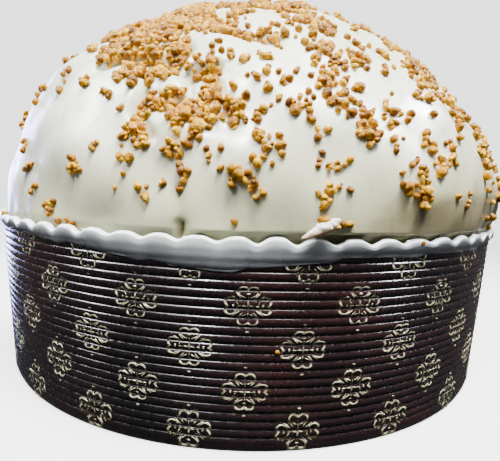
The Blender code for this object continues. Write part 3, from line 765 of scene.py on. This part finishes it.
# Clumps of a few crumbs low on the front: azimuth, elevation, how many
CLUMPS = (
    (0.8, 16.8, 5), (2.2, 13.4, 5), (1.8, 11, 5), (4.2, 12, 3), (-1.6, 8.4, 6), (1.2, 7, 4),
    (-5.6, 11.4, 3), (-9.6, 12.4, 4), (-11.4, 11.8, 4), (-7.8, 14.4, 3), (-19, 14, 3),
    (-16, 13.8, 5), (-24.6, 12.2, 2), (-27.4, 9, 4), (-18.8, 11, 2), (-17.6, 8, 1), (-15, 5.8, 4),
    (-19.2, 5.6, 1), (-12.4, 7.4, 2), (-9.2, 7.2, 2), (-48, 13.4, 3), (-42.6, 9.6, 3),
    (-39.4, 5.8, 2), (-33.8, 3, 6), (-30.2, 23.4, 3), (-24, 20.6, 2), (-20.4, 18.6, 1),
    (3.4, 19.8, 2), (7.4, 18.2, 5), (9.4, 15.4, 3), (12.2, 20, 6), (15.2, 19.2, 5), (17, 17.8, 4),
    (16.8, 15.2, 9), (21.8, 14.2, 3), (21.2, 17.2, 3), (27.4, 13.6, 3), (33, 14.8, 2),
    (33.2, 12.2, 3), (29.6, 11, 4), (25, 11.2, 3), (25.4, 8.8, 5), (25.6, 6.4, 5), (22, 8.4, 3),
    (9.6, 10.6, 3), (12.6, 10.6, 3), (13.2, 6.8, 2), (9.8, 6.2, 5), (-2, 3.6, 1), (33, 7.4, 1),
    (9.5, 3.4, 2), (12.7, 2.2, 2),
)
CLUMP_RADIUS = 1.15
# A clump's count is of those in sight, and it holds more
CLUMP_FILL = 1.4
JITTER = 0.7

# Loose crumbs and the sizes of all, in degrees and mm, drawn from the one seed
CRUMB_SEED = 11
LOOSE_CRUMBS = 1600
NEIGHBOUR_SHARES = (0.45, 0.25, 0.12)
NEIGHBOUR_SCATTER = 1.7
CRUMB_RADIUS = 1.08
CRUMB_SPREAD = 0.24
CRUMB_RANGE = (0.6, 1.9)
THIN_FROM, THIN_TO, THIN_BLUR = -75, -6, 8
THIN_WEIGHT = 0.16
FULL_ABOVE, FULL_BLUR = 27, 12
CLUMPED_HALF, CLUMPED_BELOW, CLUMPED_BLUR = 50, 17, 3
RIM_WEIGHT = 0.08
RIM_BLUR = 15
CRUMB_PROUD = 0.35
MAIN_SHARE = 1.03

# Chances that a crumb has a first and a second nugget grown to it, and how far beside it, how
# far up and how large they are, as shares of its radius
MATE_CHANCES = (0.37, 0.1)
MATE_OUT, MATE_UP, MATE_SIZE = (0.6, 0.95), (-0.1, 0.4), (0.5, 0.85)

# A nugget's core, its lobes, its chipped faces and its squash, as shares of its radius
CORE = 0.84
LOBES, LOBE_RISE, LOBE_SHARPNESS = 4, (0.15, 0.42), 7
CHIPS, CHIP_CUT = 5, (0.78, 0.98)
SQUASH = (0.8, 1.12)

# How toasted a nugget is, from 0 to 1, and how much painted shade darkens its dips under DIP_FROM
TOAST, TOAST_SPREAD = 0.42, 0.1
DIP_FROM, DIP_SHADE = 0.97, 2.0


def scatter_weight(azimuth, elevation):
    """How thickly the loose crumbs lie, from 0 to 1: full on the front's right, the back and
    the top, thin on the front's left, and hardly any near the rim or among the clumps."""
    before = 0.5 - 0.5 * np.tanh((azimuth - THIN_FROM) / THIN_BLUR)
    after = 0.5 + 0.5 * np.tanh((azimuth - THIN_TO) / THIN_BLUR)
    side = THIN_WEIGHT + (1 - THIN_WEIGHT) * np.maximum(before, after)
    upper = np.clip((elevation - FULL_ABOVE) / FULL_BLUR, 0, 1)
    low = 0.5 - 0.5 * np.tanh((elevation - CLUMPED_BELOW) / CLUMPED_BLUR)
    clumped = low * np.exp(-(azimuth / CLUMPED_HALF) ** 8)
    near_rim = np.clip(elevation / RIM_BLUR, RIM_WEIGHT, 1)
    return np.maximum(side, upper) * near_rim * (1 - (1 - RIM_WEIGHT) * clumped)


def handful(draw, azimuth, elevation, long, wide, lean, count):
    """Directions of crumbs that lie together in an oval: spread evenly over it by the golden
    angle from its middle, and jittered."""
    azimuth, elevation, lean = np.radians((azimuth, elevation, lean))
    level = np.array([np.cos(azimuth), np.sin(azimuth), 0.0])
    middle = unit(azimuth, elevation)
    upward = np.cross(middle, level)
    along = level * np.cos(lean) + upward * np.sin(lean)
    across = np.cross(middle, along)
    step = np.arange(count) + 0.5
    out = np.sqrt(step / count)[:, None] / DOME[2, 1]
    turn = (step * np.pi * (3 - np.sqrt(5)) + draw.uniform(0, 2 * np.pi))[:, None]
    oval = middle + out * (np.cos(turn) * along * long + np.sin(turn) * across * wide)
    return oval + draw.normal(0, JITTER / DOME[2, 1], oval.shape)


def draw_crumbs(draw):
    """Direction and radius in mm of every crumb: the handfuls of each turn, the clumps, and loose
    ones that fall evenly, are kept with the chance that scatter_weight gives, and bring up to
    three neighbours."""
    spots = []
    for turn, share in zip(TURNS, HANDFUL_SHARES):
        for azimuth, elevation, long, wide, lean, count in HANDFULS:
            spots.append(handful(draw, azimuth + turn, elevation, long, wide, lean,
                                 round(count * share)))
    for azimuth, elevation, count in CLUMPS:
        radius = CLUMP_RADIUS * math.sqrt(count)
        spots.append(handful(draw, azimuth, elevation, radius, radius, 0,
                             round(count * CLUMP_FILL)))
    azimuth = draw.uniform(-180, 180, LOOSE_CRUMBS * 3)
    elevation = np.degrees(np.arcsin(draw.uniform(0, 1, LOOSE_CRUMBS * 3)))
    kept = draw.uniform(0, 1, LOOSE_CRUMBS * 3) < scatter_weight(azimuth, elevation)
    alone = unit(np.radians(azimuth[kept]), np.radians(elevation[kept]))[:LOOSE_CRUMBS]
    spots.append(alone)
    for share in NEIGHBOUR_SHARES:
        parents = alone[draw.uniform(0, 1, len(alone)) < share]
        spots.append(parents + draw.normal(0, NEIGHBOUR_SCATTER / DOME[2, 1], parents.shape))
    spots = np.concatenate(spots)
    spots /= np.linalg.norm(spots, axis=1, keepdims=True)
    return spots, np.clip(CRUMB_RADIUS * np.exp(draw.normal(0, CRUMB_SPREAD, len(spots))),
                          *CRUMB_RANGE)


def ball_template():
    """Corners and triangles of a ball of 80 faces."""
    shape = bmesh.new()
    bmesh.ops.create_icosphere(shape, subdivisions=2, radius=1.0)
    corners = np.array([vertex.co[:] for vertex in shape.verts])
    faces = np.array([[vertex.index for vertex in face.verts] for face in shape.faces])
    shape.free()
    return corners, faces


def random_turns(draw, count):
    """Rotation matrices drawn evenly, from unit quaternions."""
    q = draw.normal(0, 1, (count, 4))
    w, x, y, z = (q / np.linalg.norm(q, axis=1, keepdims=True)).T
    rows = [[1 - 2 * (y * y + z * z), 2 * (x * y - w * z), 2 * (x * z + w * y)],
            [2 * (x * y + w * z), 1 - 2 * (x * x + z * z), 2 * (y * z - w * x)],
            [2 * (x * z - w * y), 2 * (y * z + w * x), 1 - 2 * (x * x + y * y)]]
    return np.moveaxis(np.array(rows), 2, 0)


def nuggets(draw, places, radii):
    """Points of one nugget at each place: a ball that swells towards a few lobes and is cut back
    by a few chipped faces, squashed and turned at random. Also how far out each point stands."""
    ball, faces = ball_template()
    count = len(places)
    toward = draw.normal(0, 1, (count, LOBES, 3))
    toward /= np.linalg.norm(toward, axis=2, keepdims=True)
    facing = np.einsum("vk,nlk->nvl", ball, toward)
    lobes = draw.uniform(*LOBE_RISE, (count, 1, LOBES)) * np.exp(LOBE_SHARPNESS * (facing - 1))
    away = CORE + lobes.sum(2)
    chip = draw.normal(0, 1, (count, CHIPS, 3))
    chip /= np.linalg.norm(chip, axis=2, keepdims=True)
    facing = np.einsum("vk,nlk->nvl", ball, chip)
    cut = draw.uniform(*CHIP_CUT, (count, 1, CHIPS)) / np.maximum(facing, 0.05)
    away = np.minimum(away, cut.min(2))
    shape = ball[None] * away[..., None] * draw.uniform(*SQUASH, (count, 1, 3))
    turned_shape = np.einsum("nvk,njk->nvj", shape, random_turns(draw, count))
    points = places[:, None] + turned_shape * radii[:, None, None]
    all_faces = faces[None] + np.arange(count)[:, None, None] * len(ball)
    return points, all_faces.reshape(-1, 3), away


def crumb_finish(name, stops):
    """Caramelised nut: glossy and a little translucent, darker where it is more toasted and, as
    painted shade, in its dips, with fine grain."""
    material, shader, add, join = node_finish(name, 0.3)
    toast_and_dip_shade = add("Attribute", attribute_name="toast_and_dip_shade")
    mottle = noise(add, join, 1500, 2)
    both = add("Math", operation="ADD")
    share = add("Math", operation="MULTIPLY_ADD")
    share.inputs[1].default_value = 0.35
    share.inputs[2].default_value = -0.17
    join(mottle.outputs["Fac"], share.inputs[0])
    join(toast_and_dip_shade.outputs["Fac"], both.inputs[0])
    join(share.outputs["Value"], both.inputs[1])
    coloured(add, join, shader, both.outputs["Value"], stops)
    shader.inputs["Subsurface Weight"].default_value = 0.06
    shader.inputs["Subsurface Radius"].default_value = (1.0, 0.6, 0.3)
    shader.inputs["Subsurface Scale"].default_value = 0.8 * MM
    shader.inputs["Specular IOR Level"].default_value = 0.2
    shader.inputs["Specular Tint"].default_value = (1.0, 0.80, 0.50, 1)
    grained(add, join, shader, 1800, 3, 0.9, 0.3 * MM)
    return material


def add_crumbs(name, draw, places, normals, radii, stops):
    """One piece of all the crumbs of a kind: each is a nugget with up to two smaller ones grown
    to its sides, set into the icing by half."""
    parts = [(places, radii)]
    for chance in MATE_CHANCES:
        beside = draw.normal(0, 1, (len(places), 3))
        beside -= normals * (beside * normals).sum(1, keepdims=True)
        beside /= np.linalg.norm(beside, axis=1, keepdims=True)
        out = radii * draw.uniform(*MATE_OUT, len(places))
        up = radii * draw.uniform(*MATE_UP, len(places))
        mates = places + beside * out[:, None] + normals * up[:, None]
        grown = draw.uniform(0, 1, len(places)) < chance
        parts.append((mates[grown], radii[grown] * draw.uniform(*MATE_SIZE, grown.sum())))
    places = np.concatenate([part[0] for part in parts])
    radii = np.concatenate([part[1] for part in parts])
    points, faces, away = nuggets(draw, places, radii)
    piece = add_piece(name, points, [], faces, smooth=False)
    # The tone is the nugget's own toasting plus painted shade in its dips.
    tone = draw.normal(TOAST, TOAST_SPREAD, (len(places), 1)) + DIP_SHADE * (DIP_FROM - away)
    set_values(piece, "toast_and_dip_shade", np.clip(tone, 0, 1))
    piece.data.materials.append(crumb_finish(name.replace("_", " "), stops))
    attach(piece, "root")
    return piece


draw = np.random.default_rng(CRUMB_SEED)
directions, crumb_radii = draw_crumbs(draw)
crumb_azimuth = np.arctan2(directions[:, 0], -directions[:, 1])
crumb_elevation = np.arcsin(directions[:, 2])
crumb_places = dome(crumb_azimuth, crumb_elevation)
crumb_places += directions * (crumb_radii * CRUMB_PROUD * MM)[:, None]
kind = draw.uniform(0, 1, len(crumb_radii))

# Colours from the palest to the most toasted, then each kind with its part of the draw
PALE = [(0.1, (0.94, 0.60, 0.030)), (0.5, (0.68, 0.37, 0.006)), (0.9, (0.19, 0.070, 0.001))]
GOLDEN = [(0.1, (0.84, 0.47, 0.014)), (0.5, (0.53, 0.245, 0.003)), (0.9, (0.13, 0.041, 0.001))]
BROWNED = [(0.1, (0.65, 0.32, 0.008)), (0.5, (0.34, 0.128, 0.002)), (0.9, (0.07, 0.019, 0.001))]
for name, first, last, stops in (("pale_nut_crumbs", 0, 0.2, PALE),
                                 ("light_golden_nut_crumbs", 0.2, 0.46, GOLDEN),
                                 ("golden_nut_crumbs", 0.46, 0.73, GOLDEN),
                                 ("browned_nut_crumbs", 0.73, 1.01, BROWNED)):
    share = (kind >= first) & (kind < last)
    add_crumbs(name, draw, crumb_places[share], directions[share],
               crumb_radii[share] * MAIN_SHARE * MM, stops)

# Crumbs that fell beside the dome: azimuth in degrees, then distance from the axis, height and
# radius in mm. All but the last lie on the rim's coat; that one stuck to the paper.
STRAYS = np.array([(-66, 110.9, 57.5, 1.2), (-63, 110.6, 59.6, 1.0), (-52, 109.6, 60.9, 1.1),
                   (-31, 108.0, 61.5, 1.3), (-29, 107.8, 61.6, 0.9), (-27.5, 108.2, 61.2, 1.1),
                   (26.5, 110.7, 59.6, 0.9), (4.9, 107.9, 30.0, 0.6)])
stray_places = turned(np.radians(STRAYS[:, 0]), STRAYS[:, 1] * MM, STRAYS[:, 2] * MM)
stray_normals = unit(np.radians(STRAYS[:, 0]), 0.0)
add_crumbs("stray_nut_crumbs", draw, stray_places, stray_normals, STRAYS[:, 3] * MM, BROWNED)


# Rim coat
# Dipping the dome left icing on the case's scalloped edge. It caps the edge with a round lip and
# runs down over the top flutes, where its lower edge follows a groove and ends in slanting tips.

COAT_COLUMNS = 1320
# How far the coat runs down: all round, more at the front, and in slow swells as waves round the
# case, height and phase
DIP_EVEN = 4.6 * MM
DIP_FRONT = 3.4 * MM
DIP_FRONT_AT = math.radians(-3.0)
DIP_FRONT_SPREAD = math.radians(13.0)
DIP_SWELLS = ((3, 0.7 * MM, 0.4), (7, 0.4 * MM, 2.0))
COAT_SHORT = 0.5 * MM
# Saw teeth of its lower edge, and the shares of a tooth that step back and lie over the mean
TONGUES = 17
TONGUE_DEPTH = 1.1 * MM
TOOTH_STEP, TOOTH_MEAN = 0.12, 0.4
# Its thickness at the lower edge, where on its way up it is full, and the dents over grooves
FILM = 0.14 * MM
FULL_AT = 0.8
DENT = 0.3 * MM
SKIRT_RISES = (0.04, 0.09, 0.15, 0.22, 0.3, 0.38, 0.46, 0.54, 0.62, 0.7, 0.78, 0.86, 0.93, 1.0)
LIP_ROUND = 0.9 * MM
OFF_PAPER = 0.04 * MM
OFF_EDGE = 0.05 * MM
TUCKED_UP = 0.1 * MM
# It covers well down to this share of its height and darkens below, partly as a thinning film
# over the dark paper and partly as painted shade on the skirt; round an azimuth on the right, in
# radians, it is an even grey of painted shade instead
FULL_COVER = 0.2
COAT_SHADE_AT, COAT_SHADE_SPREAD, COAT_SHADE_SHARE = 0.95, 0.65, 0.4


def coat_foot(azimuth):
    """Height of the coat's lower edge: the slow dip of the solid, plus saw teeth that deepen and
    then step back by half a flute."""
    away = np.remainder(azimuth - DIP_FRONT_AT + math.pi, 2 * math.pi) - math.pi
    depth = DIP_EVEN + DIP_FRONT * np.exp(-(away / DIP_FRONT_SPREAD) ** 2)
    for waves, tall, phase in DIP_SWELLS:
        depth = depth + tall * np.cos(waves * azimuth + phase)
    tooth = np.remainder(TONGUES * (azimuth + 0.3 * np.sin(2 * azimuth)) / (2 * math.pi), 1)
    step = np.clip((1 - tooth) / TOOTH_STEP, 0, 1)
    return CASE_HEIGHT - depth + COAT_SHORT - TONGUE_DEPTH * (tooth * step - TOOTH_MEAN)


def make_rim_coat():
    """Closed ring of rows: down under the skirt's edge, up its outside, over the lip on an arc,
    and back along the paper."""
    azimuth = around(COAT_COLUMNS)
    foot = coat_foot(azimuth)
    top = LIP_TOP + scallop(azimuth)
    rim = crest_radius(CASE_HEIGHT)
    half = (rim + GAP + COAT - paper_inside(CASE_HEIGHT)) / 2
    middle = paper_inside(CASE_HEIGHT) + half
    shoulder = top - LIP_ROUND
    rows = [turned(azimuth, crest_radius(foot) + OFF_PAPER, foot + TUCKED_UP),
            turned(azimuth, crest_radius(foot) + FILM, foot)]
    for rise in SKIRT_RISES:
        z = foot + (shoulder - foot) * rise
        thick = FILM + (COAT + GAP - FILM) * min(1, rise / FULL_AT)
        groove = 1 - np.abs(np.cos(math.pi * (z - FIRST_RIB) / RIB_PITCH)) ** 1.2
        dent = DENT * groove * (1 - rise) ** 1.5
        rows.append(turned(azimuth, crest_radius(z) + thick - dent, z))
    for angle in np.linspace(0, math.pi, 12)[1:-1]:
        rows.append(turned(azimuth, middle + half * math.cos(angle),
                           shoulder + LIP_ROUND * math.sin(angle)))
    rows += [turned(azimuth, paper_inside(CASE_HEIGHT), top - COAT - OFF_EDGE),
             turned(azimuth, rim + OFF_PAPER, top - COAT - OFF_EDGE)]
    rows = np.stack(rows)
    piece = add_piece("icing_on_rim", rows, round_faces(len(rows), COAT_COLUMNS, closed=True))
    hang = (top - rows[..., 2]) / (top - foot)
    # Painted shade: an even grey round the right, and under the full cover a darkening that is partly
    # thin film over dark paper and partly painted shade.
    right = np.exp(-((azimuth - COAT_SHADE_AT) / COAT_SHADE_SPREAD) ** 2)
    ending = np.clip((hang - FULL_COVER) / (1 - FULL_COVER), 0, 1)
    set_values(piece, "thin", np.clip(COAT_SHADE_SHARE * right + (1 - right) * ending, 0, 1))
    return piece


icing_on_rim = make_rim_coat()
# The coat's colours lean blue: painted cool light on the same white icing as the dome.
icing_on_rim.data.materials.append(icing_finish(
    "icing on the rim", (0.86, 0.94, 1.0), (0.28, 0.29, 0.33), (0.014, 0.014, 0.016)))
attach(icing_on_rim, "root")
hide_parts("rim_icing")


# Studio
# A pale floor that curves up into a pale wall all round, glowing evenly and kept out of the
# reflections, under a key light before the front's left, a soft light overhead, small ones
# that only glint, and a lavender one behind the left, whose reflection edges the case.

SWEEP_FLAT = 2.2
SWEEP_BEND = 0.8
SWEEP_HIGH = 2.4
SWEEP_EYE = 0.05
SWEEP_COLUMNS = 96
bend = np.linspace(math.pi / 2, 0, 17)
sweep_radius = np.concatenate([[SWEEP_FLAT + SWEEP_BEND], SWEEP_FLAT + SWEEP_BEND * np.sin(bend),
                               [SWEEP_EYE]])
sweep_z = np.concatenate([[SWEEP_HIGH], SWEEP_BEND - SWEEP_BEND * np.cos(bend), [0.0]])
sweep = turned(around(SWEEP_COLUMNS), sweep_radius[:, None], sweep_z[:, None])
ring = np.arange(SWEEP_COLUMNS) + (len(sweep) - 1) * SWEEP_COLUMNS
middle = np.full(SWEEP_COLUMNS, len(sweep) * SWEEP_COLUMNS)
backdrop = add_piece("backdrop", np.concatenate([sweep.reshape(-1, 3), [(0.0, 0.0, 0.0)]]),
                     round_faces(len(sweep), SWEEP_COLUMNS),
                     np.stack([ring, np.roll(ring, -1), middle], -1))
floor_material, floor_shader, add, join = node_finish("pale backdrop", 0.8, (0.5, 0.5, 0.5))
floor_shader.inputs["Emission Color"].default_value = (1.0, 1.0, 1.0, 1)
floor_shader.inputs["Emission Strength"].default_value = 2.4
backdrop.data.materials.append(floor_material)
backdrop.visible_diffuse = False
backdrop.visible_glossy = False
backdrop.visible_shadow = False

world = bpy.data.worlds.new("dim room")
bpy.context.scene.world = world
world.use_nodes = True
world.node_tree.nodes["Background"].inputs["Color"].default_value = (0.92, 0.94, 1.0, 1)
world.node_tree.nodes["Background"].inputs["Strength"].default_value = 0.12


def add_light(name, place, size, power, colour, spread):
    """Square area light at place that looks at the dome; its spread, in degrees, is a grid of
    honeycomb over it."""
    light = bpy.data.lights.new(name, "AREA")
    light.size = size
    light.energy = power
    light.color = colour
    light.spread = math.radians(spread)
    lamp = bpy.data.objects.new(name, light)
    lamp.location = place
    aim = Vector(DOME_MIDDLE) - Vector(place)
    lamp.rotation_euler = aim.to_track_quat("-Z", "Y").to_euler()
    bpy.context.scene.collection.objects.link(lamp)
    return lamp


# Lights aimed at the dome, as name, place, size in metres, power in watts, colour and spread in
# degrees; the glints light nothing, and only shine in glossy faces
DOME_MIDDLE = (0.0, 0.0, 0.1)
LIGHTS = (
    ("key", (-0.26, -0.40, 0.70), 0.34, 0.66, (1.0, 1.0, 0.98), 36),
    ("overhead", (0.14, -0.15, 0.82), 0.55, 4.8, (1.0, 0.99, 0.96), 34),
    ("lavender", (-0.5, 0.45, 0.16), 0.35, 1.5, (0.46, 0.48, 1.0), 60),
)
GLINTS = (
    ("left glint", (-0.16, -0.42, 0.62), 0.05, 0.65, (0.95, 0.93, 1.0), 40),
    ("far left glint", (-0.5, -0.08, 0.5), 0.25, 1.2, (0.95, 0.93, 1.0), 40),
    ("right glint", (0.5, -0.08, 0.5), 0.15, 1.2, (0.95, 0.93, 1.0), 40),
)
for settings in LIGHTS:
    add_light(*settings)
for settings in GLINTS:
    add_light(*settings).visible_diffuse = False


# Camera
# It stands close, a little over the rim, as for the photograph, and looks slightly down. Its
# place is in metres and its turns are in radians.

CAMERA_PLACE = (0.0, -0.2115, 0.0735)
CAMERA_DOWN = 0.1072
CAMERA_YAW = 0.0067
CAMERA_ROLL = 0.0379
camera_data = bpy.data.cameras.new("camera")
camera_data.lens = 29.185
camera_data.sensor_width = 36.0
camera_data.clip_start = 0.01
camera = bpy.data.objects.new("camera", camera_data)
camera.rotation_euler = (Matrix.Rotation(-CAMERA_YAW, 3, "Z")
                         @ Matrix.Rotation(math.pi / 2 - CAMERA_DOWN, 3, "X")
                         @ Matrix.Rotation(CAMERA_ROLL, 3, "Z")).to_euler()
camera.location = CAMERA_PLACE
bpy.context.scene.collection.objects.link(camera)
bpy.context.scene.camera = camera
